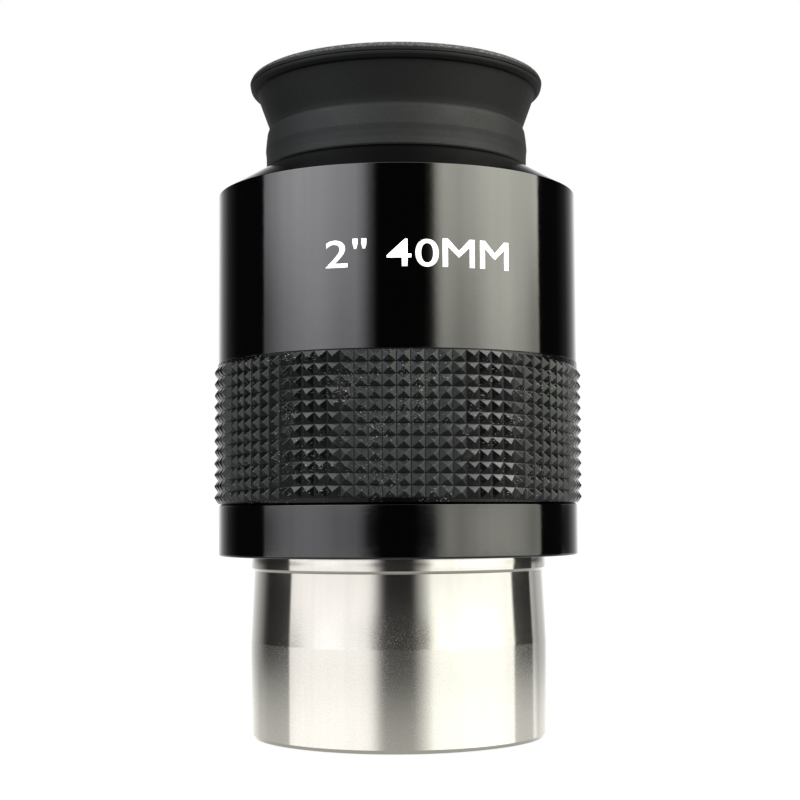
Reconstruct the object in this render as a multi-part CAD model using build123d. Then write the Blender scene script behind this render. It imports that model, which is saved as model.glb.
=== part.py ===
from build123d import *
import math
import os

os.makedirs("parts", exist_ok=True)

# Two-inch telescope eyepiece with a fold-down rubber eyecup.
# All sizes in millimetres. +Z is the optical axis, pointing towards the eye.
# The origin is the centre of the barrel's lower (telescope) end.
# Sizes shared by several pieces come first; the rest head each piece's section.

# ---------------------------------------------------------------- shared sizes
fit = 0.02                # radial gap in screwed and slip joints
slide_gap = 0.05          # wider radial gap round the lenses, cell, collar and spigot

# joint between the barrel and the lower housing
barrel_seat_z = 30.75     # shoulder that stops the barrel in a focuser
collar_recess = 0.50      # how far the collar sits up inside the lower housing
collar_top = barrel_seat_z + collar_recess
collar_r = 25.35
stop_seat_r = 23.90       # counterbore for the field stop ring
stop_seat_z = 32.10
skirt_bore_r = 24.60

# joint between the two housings
skirt_top = 39.55
spigot_r = 26.90          # lower housing's threaded spigot
grip_seat_r = 29.90
grip_seat_top = 63.62
screw_r = 1.25
screw_z = 44.60
screw_angles = (30, 150, 270)

# upper housing, its bore and its neck
body_r = 31.10
body_bore_r = 26.50
body_thread_r = 27.00     # threaded lower part of the bore
body_thread_top = 56.20
cell_shoulder_z = 91.00
neck_r = 21.50
neck_bore_r = 20.00
neck_groove_r = 20.95
neck_groove_z0 = 99.40
neck_groove_z1 = 101.40
neck_top = 103.50

# lenses and the cell that holds them
eye_lens_r = 18.50
field_lens_r = 22.50
cell_z0 = body_thread_top
cell_bore_r = field_lens_r + slide_gap
cell_flange_r = 17.20     # inner radius of the flange the eye group sits on
eye_ring_r = 19.10
field_ring_r = 22.95

# eyecup: one rubber moulding, in three zones so that it can fold
cuff_z1 = 104.88
wall_foot_r = 22.05
wall_z1 = 111.47
rim_inner_r = 23.30


# ---------------------------------------------------------------- helpers
def point(r, z):
    return Vector(r, 0, z)


def turned(start, *steps):
    """Solid of revolution about Z from a closed outline of (r, z) points.
    A step of two points is an arc through the first to the second."""
    edges = []
    here = point(*start)
    for step in steps:
        if isinstance(step[0], tuple):
            via, end = point(*step[0]), point(*step[1])
            edges.append(Edge.make_three_point_arc(here, via, end))
        else:
            end = point(*step)
            edges.append(Edge.make_line(here, end))
        here = end
    edges.append(Edge.make_line(here, point(*start)))
    return revolve(Face(Wire(edges)), Axis.Z, 360)


def slots(face_z, depth, inner_r, outer_r, width, upward):
    """Cutter for two opposite spanner slots across a retaining ring's face.
    It runs from 1 mm inside inner_r to 3 mm outside outer_r."""
    length = outer_r - inner_r + 4
    middle_r = (outer_r + inner_r) / 2 + 1
    middle_z = face_z + depth / 2 if upward else face_z - depth / 2
    one = Pos(middle_r, 0, middle_z) * Box(length, width, depth)
    two = Pos(-middle_r, 0, middle_z) * Box(length, width, depth)
    return one + two


def save(shape, name):
    export_step(shape, f"parts/{name}.step")


# ---------------------------------------------------------------- barrel
barrel_r = 25.40          # 50.8 mm standard diameter
mouth_chamfer = 0.40
mouth_chamfer_h = 0.80
undercut_z = 16.40        # where the full diameter starts to taper inwards
undercut_r = 24.85        # narrow end of the taper, just below the collar
collar_z = 28.40
collar_chamfer = 0.45
filter_minor_r = 23.60    # minor radius of the M48 x 0.75 internal filter thread
filter_chamfer = 0.35
filter_bore_top = 5.40    # 5.2 mm of thread and 0.2 mm of run-out
filter_taper_h = 0.40
barrel_bore_r = 23.20
barrel_spigot_r = skirt_bore_r - slide_gap
barrel_spigot_top = 37.50

barrel = turned(
    (filter_minor_r + filter_chamfer, 0),
    (barrel_r - mouth_chamfer, 0),
    (barrel_r, mouth_chamfer_h),
    (barrel_r, undercut_z),
    (undercut_r, collar_z),
    (collar_r - collar_chamfer, collar_z),
    (collar_r, collar_z + collar_chamfer),
    (collar_r, collar_top),
    (barrel_spigot_r, collar_top),
    (barrel_spigot_r, barrel_spigot_top),
    (stop_seat_r, barrel_spigot_top),
    (stop_seat_r, stop_seat_z),
    (barrel_bore_r, stop_seat_z),
    (barrel_bore_r, filter_bore_top + filter_taper_h),
    (filter_minor_r, filter_bore_top),
    (filter_minor_r, filter_chamfer),
)
save(barrel, "barrel")

# ---------------------------------------------------------------- field stop ring
# sharp-edged ring that limits the field; it drops into the barrel's counterbore
stop_r = 22.60
stop_edge_h = 0.90        # height of the sharp edge above the seat
stop_bottom_flare = 0.50
stop_top_flare = 0.75
stop_outer_r = stop_seat_r - fit
stop_top = stop_seat_z + 2.60

field_stop = turned(
    (stop_r, stop_seat_z + stop_edge_h),
    (stop_r + stop_bottom_flare, stop_seat_z),
    (stop_outer_r, stop_seat_z),
    (stop_outer_r, stop_top),
    (stop_r + stop_top_flare, stop_top),
)
field_stop -= slots(stop_top, 0.9, stop_r, stop_seat_r, width=1.6, upward=False)
save(field_stop, "field_stop_ring")

# ---------------------------------------------------------------- lower housing
# plain ring between the barrel and the grip
skirt_r = 31.00
skirt_edge = 0.35
skirt_bore_top = 37.60
skirt_light_r = 23.80     # clear opening above the barrel's spigot
collar_socket_r = collar_r + slide_gap
spigot_top = 49.50
spigot_chamfer = 0.4

lower_housing = turned(
    (skirt_bore_r, collar_top),
    (collar_socket_r, collar_top),
    (collar_socket_r, barrel_seat_z),
    (skirt_r - skirt_edge, barrel_seat_z),
    (skirt_r, barrel_seat_z + skirt_edge),
    (skirt_r, skirt_top - skirt_edge),
    (skirt_r - skirt_edge, skirt_top),
    (spigot_r, skirt_top),
    (spigot_r, spigot_top - spigot_chamfer),
    (spigot_r - spigot_chamfer, spigot_top),
    (skirt_light_r, spigot_top),
    (skirt_light_r, skirt_bore_top),
    (skirt_bore_r, skirt_bore_top),
)
save(lower_housing, "lower_housing")


# ---------------------------------------------------------------- upper housing
# cylinder with a conical top and a neck for the eyecup
def screw_place(angle, r):
    """Place at distance r from the axis with its own Z pointing outwards."""
    return Rot(0, 0, angle) * Pos(r, 0, screw_z) * Rot(0, 90, 0)


body_top = 92.84
body_edge = 0.15          # chamfer above the grip seat
cone_angle = 30.0         # slope of the conical top, degrees from horizontal
cone_end_r = neck_r + 1.3
cone_end_z = body_top + (body_r - cone_end_r) * math.tan(math.radians(cone_angle))
neck_chamfer = 0.3
screw_clear = 0.02
screw_hole_len = 8        # longer than the wall is thick

upper_housing = turned(
    (body_thread_r, skirt_top),
    (grip_seat_r, skirt_top),
    (grip_seat_r, grip_seat_top),
    (body_r - body_edge, grip_seat_top),
    (body_r, grip_seat_top + body_edge),
    (body_r, body_top - 0.08),
    (body_r - 0.08, body_top + 0.05),
    (cone_end_r, cone_end_z),
    (neck_r, cone_end_z),
    (neck_r, neck_groove_z0),
    (neck_groove_r, neck_groove_z0),
    (neck_groove_r, neck_groove_z1),
    (neck_r, neck_groove_z1),
    (neck_r, neck_top - neck_chamfer),
    (neck_r - neck_chamfer, neck_top),
    (neck_bore_r, neck_top),
    (neck_bore_r, cell_shoulder_z),
    (body_bore_r, cell_shoulder_z),
    (body_bore_r, body_thread_top),
    (body_thread_r, body_thread_top),
)
for angle in screw_angles:
    hole_place = screw_place(angle, (spigot_r + grip_seat_r) / 2)
    upper_housing -= hole_place * Cylinder(screw_r + screw_clear, screw_hole_len)
save(upper_housing, "upper_housing")

# ---------------------------------------------------------------- lock screws
# three grub screws under the rubber grip lock the two housings together
screw_len = grip_seat_r - spigot_r - 0.45
socket_r = 0.72           # hexagon, centre to corner
socket_depth = 0.55
socket_overrun = 0.05

screws = []
for angle in screw_angles:
    place = screw_place(angle, spigot_r + fit + screw_len / 2)
    hexagon = extrude(RegularPolygon(socket_r, 6), socket_depth + socket_overrun)
    socket = place * Pos(0, 0, screw_len / 2 - socket_depth) * hexagon
    screws.append(place * Cylinder(screw_r, screw_len) - socket)
save(Compound(children=[screw.solid() for screw in screws]), "lock_screws")

# ---------------------------------------------------------------- grip ring
# moulded rubber: rows of points, drawn here as turned ridges
grip_z0 = 40.10
grip_z1 = 63.52
grip_inner_r = grip_seat_r + fit
grip_base_r = body_r      # bottom of the grooves, flush with the body
grip_peak_r = 31.85
grip_rows = 12
grip_border = 0.20        # plain band at each end
row_pitch = (grip_z1 - grip_z0 - 2 * grip_border) / grip_rows

grip_outline = [
    (grip_inner_r, grip_z0),
    (grip_base_r, grip_z0),
    (grip_base_r, grip_z0 + grip_border),
]
for row in range(grip_rows):
    z = grip_z0 + grip_border + row * row_pitch
    grip_outline.append((grip_peak_r, z + row_pitch / 2))
    grip_outline.append((grip_base_r, z + row_pitch))
grip_outline += [(grip_base_r, grip_z1), (grip_inner_r, grip_z1)]
save(turned(*grip_outline), "grip_sleeve")

# ---------------------------------------------------------------- lenses
# five elements in three groups, focal length 40 mm
eye_plane_z = 100.00      # outer plane face of the eye lens
outer_curve = 55.2        # outward-facing surface of each crown
cement_curve = 46.0       # cemented surface of each doublet
center_curve = 88.0       # both faces of the centre lens
flint_t = 3.0
eye_crown_t = 11.5
center_t = 9.0
field_crown_t = 13.5
air_gap = 0.6
cement_gap = 0.01
lens_bevel = 0.2          # on the rim of each plane face

# vertex heights, from the eye downwards
eye_cement_z = eye_plane_z - flint_t
eye_crown_z = eye_cement_z - eye_crown_t
center_top_z = eye_crown_z - air_gap
center_bottom_z = center_top_z - center_t
field_crown_z = center_bottom_z - air_gap
field_cement_z = field_crown_z - field_crown_t
field_plane_z = field_cement_z - flint_t

# spherical faces: (vertex height, radius); a positive radius curves up to the edge
eye_flint_face = (eye_cement_z + cement_gap, -cement_curve)
eye_cement_face = (eye_cement_z, -cement_curve)
eye_crown_face = (eye_crown_z, outer_curve)
center_top_face = (center_top_z, -center_curve)
center_bottom_face = (center_bottom_z, center_curve)
field_crown_face = (field_crown_z, -outer_curve)
field_cement_face = (field_cement_z, cement_curve)
field_flint_face = (field_cement_z - cement_gap, cement_curve)


def face_z(face, r):
    """Height of a spherical face at distance r from the axis."""
    vertex, radius = face
    sag = abs(radius) - math.sqrt(radius * radius - r * r)
    return vertex + math.copysign(sag, radius)


def face_arc(face, r, end_r):
    """Arc step along a face between the axis and its edge r, ending at end_r."""
    return (r / 2, face_z(face, r / 2)), (end_r, face_z(face, end_r))


def biconvex(first, second, r):
    return turned(
        (0, first[0]),
        face_arc(first, r, r),
        (r, face_z(second, r)),
        face_arc(second, r, 0),
    )


def flint(plane_z, face, r):
    """Lens with a bevelled plane face and one spherical face."""
    bevel_z = plane_z + math.copysign(lens_bevel, face[0] - plane_z)
    return turned(
        (0, plane_z),
        (r - lens_bevel, plane_z),
        (r, bevel_z),
        (r, face_z(face, r)),
        face_arc(face, r, 0),
    )


save(flint(eye_plane_z, eye_flint_face, eye_lens_r), "eye_lens_flint")
save(biconvex(eye_crown_face, eye_cement_face, eye_lens_r), "eye_lens_crown")
save(biconvex(center_bottom_face, center_top_face, field_lens_r), "center_lens")
save(biconvex(field_crown_face, field_cement_face, field_lens_r), "field_lens_crown")
save(flint(field_plane_z, field_flint_face, field_lens_r), "field_lens_flint")

# ---------------------------------------------------------------- lens cell
cell_r = body_bore_r - slide_gap
cell_neck_r = neck_bore_r - slide_gap
cell_eye_bore_r = eye_lens_r + slide_gap
cell_top = 102.60
flange_top = face_z(eye_crown_face, cell_flange_r)
flange_bottom = flange_top - 2.4

cell = turned(
    (field_ring_r + fit, cell_z0),
    (cell_r, cell_z0),
    (cell_r, cell_shoulder_z),
    (cell_neck_r, cell_shoulder_z),
    (cell_neck_r, cell_top),
    (eye_ring_r + fit, cell_top),
    (eye_ring_r + fit, eye_plane_z),
    (cell_eye_bore_r, eye_plane_z),
    (cell_eye_bore_r, flange_top),
    (cell_flange_r, flange_top),
    (cell_flange_r, flange_bottom),
    (cell_bore_r, flange_bottom),
    (cell_bore_r, field_plane_z),
    (field_ring_r + fit, field_plane_z),
)
save(cell, "lens_cell")


# ---------------------------------------------------------------- spacers
def spacer(inner_r, start_z, end_z):
    outer_r = cell_bore_r - fit
    return turned((inner_r, start_z), (inner_r, end_z), (outer_r, end_z), (outer_r, start_z))


# above the centre lens, under the cell's flange
eye_spacer_r = 20.0
spacer_eye = spacer(eye_spacer_r, flange_bottom, face_z(center_top_face, eye_spacer_r))
save(spacer_eye, "spacer_eye_side")

# between the centre lens and the field doublet
field_spacer_r = 20.3
spacer_field = spacer(
    field_spacer_r,
    face_z(center_bottom_face, field_spacer_r),
    face_z(field_crown_face, field_spacer_r),
)
save(spacer_field, "spacer_field_side")

# ---------------------------------------------------------------- retaining rings
# eye ring: holds the eye doublet down in the cell
eye_ring_top = eye_plane_z + 2.2
eye_ring = turned(
    (cell_flange_r, eye_plane_z + 0.9),
    (cell_flange_r + 0.15, eye_plane_z),
    (eye_ring_r, eye_plane_z),
    (eye_ring_r, eye_ring_top),
    (cell_flange_r + 0.55, eye_ring_top),
)
eye_ring -= slots(eye_ring_top, 1.0, cell_flange_r, eye_ring_r, width=1.4, upward=False)
save(eye_ring, "eye_retaining_ring")

# field ring: holds the field doublet up in the cell
field_ring_inner_r = 20.6
field_ring_mouth_r = 21.1
field_ring_bottom = field_plane_z - 2.60
field_ring = turned(
    (field_ring_r, field_plane_z),
    (field_ring_inner_r, field_plane_z),
    (field_ring_inner_r, field_plane_z - 0.8),
    (field_ring_mouth_r, field_ring_bottom),
    (field_ring_r, field_ring_bottom),
)
field_ring -= slots(
    field_ring_bottom, 1.0, field_ring_inner_r, field_ring_r, width=1.6, upward=True
)
save(field_ring, "field_retaining_ring")

# lock ring: screws into the upper housing, under the cell
lock_ring_z0 = 52.60
lock_ring_inner_r = 22.90
lock_ring_r = body_thread_r - fit
lock_ring = turned(
    (lock_ring_inner_r, lock_ring_z0),
    (lock_ring_r, lock_ring_z0),
    (lock_ring_r, cell_z0),
    (lock_ring_inner_r, cell_z0),
)
lock_ring -= slots(
    lock_ring_z0, 1.4, lock_ring_inner_r, body_thread_r, width=2.4, upward=True
)
save(lock_ring, "cell_lock_ring")

# ---------------------------------------------------------------- eyecup
# cuff: stretched over the neck, with a bead in the neck's groove
cuff_z0 = 97.72
cuff_lip_r = 20.70        # lip turned in over the top of the neck
cuff_bore_r = neck_r + fit
bead_r = neck_groove_r + fit
cuff_outside = [          # (r, z), upwards
    (22.55, cuff_z0), (22.78, cuff_z0 + 0.22), (22.80, 98.90), (22.84, 100.10),
    (22.92, 101.15), (22.90, 101.60), (22.78, 103.30), (22.63, 104.30),
    (22.50, 104.62), (wall_foot_r, cuff_z1),
]
cuff = turned(
    (cuff_bore_r, cuff_z0),
    *cuff_outside,
    (cuff_lip_r, cuff_z1),
    (cuff_lip_r, neck_top + fit),
    (cuff_bore_r, neck_top + fit),
    (cuff_bore_r, neck_groove_z1 - 0.1),
    (bead_r, neck_groove_z1 - 0.2),
    (bead_r, neck_groove_z0 + 0.2),
    (cuff_bore_r, neck_groove_z0 + 0.1),
)
save(cuff, "eyecup_cuff")

# wall: thin flared zone that turns inside out when the cup is folded down
wall_outline = [          # (r, z), up the outside and down the inside
    (20.90, cuff_z1), (wall_foot_r, cuff_z1), (22.43, 105.90),
    (24.45, wall_z1), (rim_inner_r, wall_z1), (21.20, 105.90),
]
save(turned(*wall_outline), "eyecup_wall")

# rim: thick bead round the eye end
rim_top = 113.96
rim_r = 25.70
rim_outline = [           # (r, z), or an arc's (middle, end)
    (rim_inner_r, wall_z1),
    (24.80, wall_z1),
    ((25.34, 111.95), (rim_r - 0.03, 112.70)),
    (rim_r, 113.05),
    ((25.62, 113.50), (25.25, 113.84)),
    ((24.95, rim_top), (24.55, rim_top)),
    (23.95, rim_top),
    (23.45, 113.40),
]
save(turned(*rim_outline), "eyecup_rim")
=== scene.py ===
import math

import bmesh
import bpy
import numpy as np
from mathutils import Matrix, Vector


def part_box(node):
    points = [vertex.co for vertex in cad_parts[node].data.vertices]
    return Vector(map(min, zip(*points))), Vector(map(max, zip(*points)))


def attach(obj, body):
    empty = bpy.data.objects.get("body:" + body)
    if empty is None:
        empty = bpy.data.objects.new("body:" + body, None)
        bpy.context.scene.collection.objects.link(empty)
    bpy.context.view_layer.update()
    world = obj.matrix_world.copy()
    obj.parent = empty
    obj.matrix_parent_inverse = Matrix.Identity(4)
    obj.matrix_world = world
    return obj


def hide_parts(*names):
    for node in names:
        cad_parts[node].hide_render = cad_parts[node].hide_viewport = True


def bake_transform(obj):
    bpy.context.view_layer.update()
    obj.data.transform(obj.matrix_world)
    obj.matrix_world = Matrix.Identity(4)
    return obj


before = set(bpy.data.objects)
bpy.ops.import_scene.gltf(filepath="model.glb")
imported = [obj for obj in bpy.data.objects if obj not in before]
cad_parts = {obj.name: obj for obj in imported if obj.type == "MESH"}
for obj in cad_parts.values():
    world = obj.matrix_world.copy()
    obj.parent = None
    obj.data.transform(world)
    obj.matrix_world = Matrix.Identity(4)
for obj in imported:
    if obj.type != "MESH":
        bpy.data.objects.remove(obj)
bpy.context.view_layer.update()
scene = bpy.context.scene
rng = np.random.default_rng(11)


# ------------------------------------------------------------------ driving sizes
def z_span(node):
    """Lowest and highest z of a CAD node, mm."""
    lo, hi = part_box(node)
    return (lo * 1000.0).z, (hi * 1000.0).z


HOUSING, LIP = "housing", "eyecup_lip"  # moving bodies
GRIP_Z0, GRIP_Z1 = z_span("grip_sleeve")
SEAT = z_span("lower_housing")[0]  # underside of the lower housing
POCKET_Z = SEAT + 0.5              # step where the barrel sits inside the lower housing
BARREL_R = 25.40
BODY_R = 31.10                     # upper housing


# ------------------------------------------------------------------ mesh helpers
def rounded(points, steps=5):
    """Closed outline from (r, z) or (r, z, fillet) points, fillets drawn as short arcs."""
    outline = []
    for i, point in enumerate(points):
        corner = np.array(point[:2], float)
        fillet = point[2] if len(point) > 2 else 0.0
        if fillet <= 0:
            outline.append(corner)
            continue
        before = np.array(points[i - 1][:2], float)
        after = np.array(points[(i + 1) % len(points)][:2], float)
        length_in = np.linalg.norm(before - corner)
        length_out = np.linalg.norm(after - corner)
        back, ahead = (before - corner) / length_in, (after - corner) / length_out
        angle = math.acos(max(-1, min(1, float(back @ ahead))))
        if angle > math.pi - 0.02:  # nearly straight
            outline.append(corner)
            continue
        # the arc never uses more than 48 % of a neighbouring side
        reach = min(fillet / math.tan(angle / 2), 0.48 * length_in, 0.48 * length_out)
        radius = reach * math.tan(angle / 2)
        middle = (back + ahead) / np.linalg.norm(back + ahead)
        centre = corner + middle * (radius / math.sin(angle / 2))
        first, last = corner + back * reach, corner + ahead * reach
        start = math.atan2(*(first - centre)[::-1])
        end = math.atan2(*(last - centre)[::-1])
        sweep = (end - start + math.pi) % (2 * math.pi) - math.pi
        for k in range(steps + 1):
            turned = start + sweep * k / steps
            outline.append(centre + radius * np.array([math.cos(turned), math.sin(turned)]))
    return np.array(outline)


def supported(outline, gap=0.05, shortest=0.5):
    """Adds a point just inside both ends of long stretches, so long walls shade true."""
    points = []
    for i in range(len(outline)):
        a, b = outline[i], outline[(i + 1) % len(outline)]
        length = np.linalg.norm(b - a)
        points.append(a)
        if length > shortest:
            points.append(a + (b - a) * gap / length)
            points.append(b - (b - a) * gap / length)
    return np.array(points)


def subdivide(outline, step):
    """Adds points along an outline, at most `step` apart."""
    points = []
    for i in range(len(outline)):
        a, b = outline[i], outline[(i + 1) % len(outline)]
        parts = max(1, int(math.ceil(np.linalg.norm(b - a) / step)))
        for k in range(parts):
            points.append(a + (b - a) * k / parts)
    return np.array(points)


def add_object(name, data):
    added = bpy.data.objects.new(name, data)
    scene.collection.objects.link(added)
    return added


def face_outward(bm):
    if bm.calc_volume(signed=True) < 0:
        bmesh.ops.reverse_faces(bm, faces=bm.faces)


def object_from_bmesh(name, bm):
    mesh = bpy.data.meshes.new(name)
    bm.to_mesh(mesh)
    bm.free()
    return add_object(name, mesh)


def smooth_mesh(mesh, sharp):
    """Smooth shading, with edges above `sharp` degrees kept hard."""
    mesh.polygons.foreach_set("use_smooth", [True] * len(mesh.polygons))
    mesh.set_sharp_from_angle(angle=math.radians(sharp))


def ring_angles(segments):
    return np.arange(segments) * 2 * math.pi / segments


def revolve(name, radii, heights, segments, sharp):
    """Solid of revolution; radii are one per point, or one row of them per segment."""
    angles = ring_angles(segments)[:, None]
    xs = np.cos(angles) * radii
    verts = np.stack([xs, np.sin(angles) * radii, np.broadcast_to(heights, xs.shape)], -1)
    count = xs.shape[1]
    column = np.arange(segments)[:, None] * count
    point = np.arange(count)[None, :]
    next_column, next_point = np.roll(column, -1, 0), np.roll(point, -1, 1)
    quads = np.stack([column + point, next_column + point,
                      next_column + next_point, column + next_point], -1)
    mesh = bpy.data.meshes.new(name)
    mesh.from_pydata((verts.reshape(-1, 3) / 1000.0).tolist(), [], quads.reshape(-1, 4).tolist())
    mesh.validate()
    bm = bmesh.new()
    bm.from_mesh(mesh)
    face_outward(bm)
    bm.to_mesh(mesh)
    bm.free()
    smooth_mesh(mesh, sharp)
    mesh.update()
    return add_object(name, mesh)


def turn(name, outline, segments, sharp):
    """Turned piece from a closed (r, z) outline."""
    profile = supported(outline)
    return revolve(name, profile[:, 0], profile[:, 1], segments, sharp)


def finish_piece(piece, materials, replaces=(), rides=True):
    for material in materials:
        piece.data.materials.append(material)
    if rides:
        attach(piece, HOUSING)
    if replaces:
        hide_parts(*replaces)


# ------------------------------------------------------------------ material helpers
class Signal:
    """A shader node output. Arithmetic on it adds Math nodes."""

    def __init__(self, tree, socket):
        self.tree = tree
        self.socket = socket

    def __add__(self, other):
        return self.tree.math("ADD", self, other)

    def __sub__(self, other):
        return self.tree.math("SUBTRACT", self, other)

    def __rsub__(self, other):
        return self.tree.math("SUBTRACT", other, self)

    def __mul__(self, other):
        return self.tree.math("MULTIPLY", self, other)

    def __rmul__(self, other):
        return self.tree.math("MULTIPLY", other, self)

    def __truediv__(self, other):
        return self.tree.math("DIVIDE", self, other)

    def scaled(self, by, plus):
        return self.tree.math("MULTIPLY_ADD", self, by, plus)

    def max(self, other):
        return self.tree.math("MAXIMUM", self, other)

    def smooth(self, off, on):
        """0 at `off`, 1 at `on`, eased between them."""
        return self.tree.map_range("SMOOTHSTEP", self, off, on, 0.0, 1.0)

    def linear(self, low=0.0, high=1.0, start=0.3, end=0.7):
        """Runs from low to high while the signal runs from start to end."""
        return self.tree.map_range("LINEAR", self, start, end, low, high)


class Tree:
    """Builds the node tree of a material or world."""

    def __init__(self, owner):
        owner.use_nodes = True
        self.node_tree = owner.node_tree
        self.node_tree.nodes.clear()

    def node(self, kind, inputs, **props):
        node = self.node_tree.nodes.new(kind)
        for key, value in props.items():
            setattr(node, key, value)
        for key, value in inputs.items():
            if isinstance(value, Signal):
                self.node_tree.links.new(value.socket, node.inputs[key])
            else:
                node.inputs[key].default_value = value
        return node

    def add(self, kind, inputs, output=0, **props):
        return Signal(self, self.node(kind, inputs, **props).outputs[output])

    def math(self, operation, *operands):
        return self.add("ShaderNodeMath", dict(enumerate(operands)), operation=operation)

    def vector_math(self, operation, a, b):
        return self.add("ShaderNodeVectorMath", {0: a, 1: b}, operation=operation)

    def scale(self, vector, factor):
        return self.add("ShaderNodeVectorMath", {0: vector, "Scale": factor}, operation="SCALE")

    def map_range(self, kind, value, start, end, low, high):
        inputs = {"Value": value, "From Min": start, "From Max": end,
                  "To Min": low, "To Max": high}
        return self.add("ShaderNodeMapRange", inputs, interpolation_type=kind)

    def combine(self, x, y, z):
        return self.add("ShaderNodeCombineXYZ", {0: x, 1: y, 2: z})

    def split(self, vector):
        node = self.node("ShaderNodeSeparateXYZ", {0: vector})
        return [Signal(self, socket) for socket in node.outputs]

    def position(self):
        """Object coordinates in mm."""
        return self.scale(self.add("ShaderNodeTexCoord", {}, "Object"), 1000.0)

    def radius(self, x, y):
        return self.math("SQRT", x * x + y * y)

    def stretched(self, axes, around, up):
        """Coordinates scaled by `around` in x and y, and by `up` along the axis."""
        x, y, z = axes
        return self.combine(x * around, y * around, z * up)

    def noise(self, vector, scale=1.0, detail=2.0, rough=0.5):
        inputs = {"Vector": vector, "Scale": scale, "Detail": detail, "Roughness": rough}
        return self.add("ShaderNodeTexNoise", inputs)

    def cells(self, vector, scale=1.0, feature="F1"):
        """Distance to the cell centre, or to the cell edge."""
        inputs = {"Vector": vector, "Scale": scale}
        return self.add("ShaderNodeTexVoronoi", inputs, "Distance", feature=feature)

    def ramp(self, fraction, table, span, top, offset=0.5, tint=(1.0, 1.0, 1.0)):
        """Colour ramp from (degrees, value) rows; `top` scales the values down."""
        node = self.node("ShaderNodeValToRGB", {0: fraction})
        elements = node.color_ramp.elements
        elements.remove(elements[-1])
        for index, (degrees, value) in enumerate(table):
            place = degrees / span + offset
            stop = elements.new(place) if index else elements[0]
            stop.position = place
            stop.color = (*(value / top * channel for channel in tint), 1.0)
        return Signal(self, node.outputs[0])

    def mix(self, share, under, over, blend="MIX"):
        return self.add("ShaderNodeMix", {0: share, 6: under, 7: over}, 2,
                        data_type="RGBA", blend_type=blend)

    def bump(self, height):
        """Normal from a height in mm."""
        return self.add("ShaderNodeBump", {"Strength": 1.0, "Distance": 0.001, "Height": height})

    def principled(self, **values):
        inputs = {key.replace("_", " "): value for key, value in values.items()}
        return self.add("ShaderNodeBsdfPrincipled", inputs)

    def output(self, shader, kind="Material"):
        self.node("ShaderNodeOutput" + kind, {0: shader})


def new_material(name):
    material = bpy.data.materials.new(name)
    return material, Tree(material)


def rgb(red, green, blue):
    return (red, green, blue, 1.0)


def grey(level):
    return rgb(level, level, level)


WHITE = grey(1.0)


# ------------------------------------------------------------------ materials
def gloss_black():
    """Gloss black anodised aluminium: fine lathe lines, faint dust and hairline scratches."""
    material, tree = new_material("gloss_black_anodised")
    position = tree.position()
    axes = x, y, z = tree.split(position)
    lines = tree.noise(tree.stretched(axes, around=0.05, up=9.0), detail=3.0, rough=0.6)
    peel = tree.noise(position, scale=0.55)
    cloud = tree.noise(position, scale=0.09, detail=3.0)
    spots = (tree.cells(position, scale=1.15).smooth(off=0.055, on=0.02)
             * tree.noise(position, scale=0.35).smooth(off=0.56, on=0.66))
    scratch = tree.cells(tree.stretched(axes, around=0.22, up=0.9), feature="DISTANCE_TO_EDGE")
    hair = (scratch.smooth(off=0.006, on=0.0015)
            * tree.noise(position, scale=0.2).smooth(off=0.60, on=0.70))
    # dust and scratches roughen the gloss
    rough = cloud.linear(low=0.040, high=0.075) + lines * 0.015
    rough = rough + (spots + hair * 0.4) * 0.25
    base = tree.mix(spots * 0.35, under=grey(0.0003), over=rgb(0.20, 0.20, 0.19))
    # painted shade: a weaker, rougher reflection on the front of the sloped shoulder, under the
    # eyecup
    shoulder_shade = z.smooth(off=92.83, on=92.95) * (
        tree.math("ABSOLUTE", x).smooth(off=25.0, on=17.0) * y.smooth(off=-8.0, on=-14.0))
    tree.output(tree.principled(
        Base_Color=base, Roughness=rough + shoulder_shade * 0.08, IOR=1.70,
        Specular_IOR_Level=0.5 - shoulder_shade * 0.455,
        Normal=tree.bump(lines * 0.0010 + peel * 0.0045)))
    return material


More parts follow.
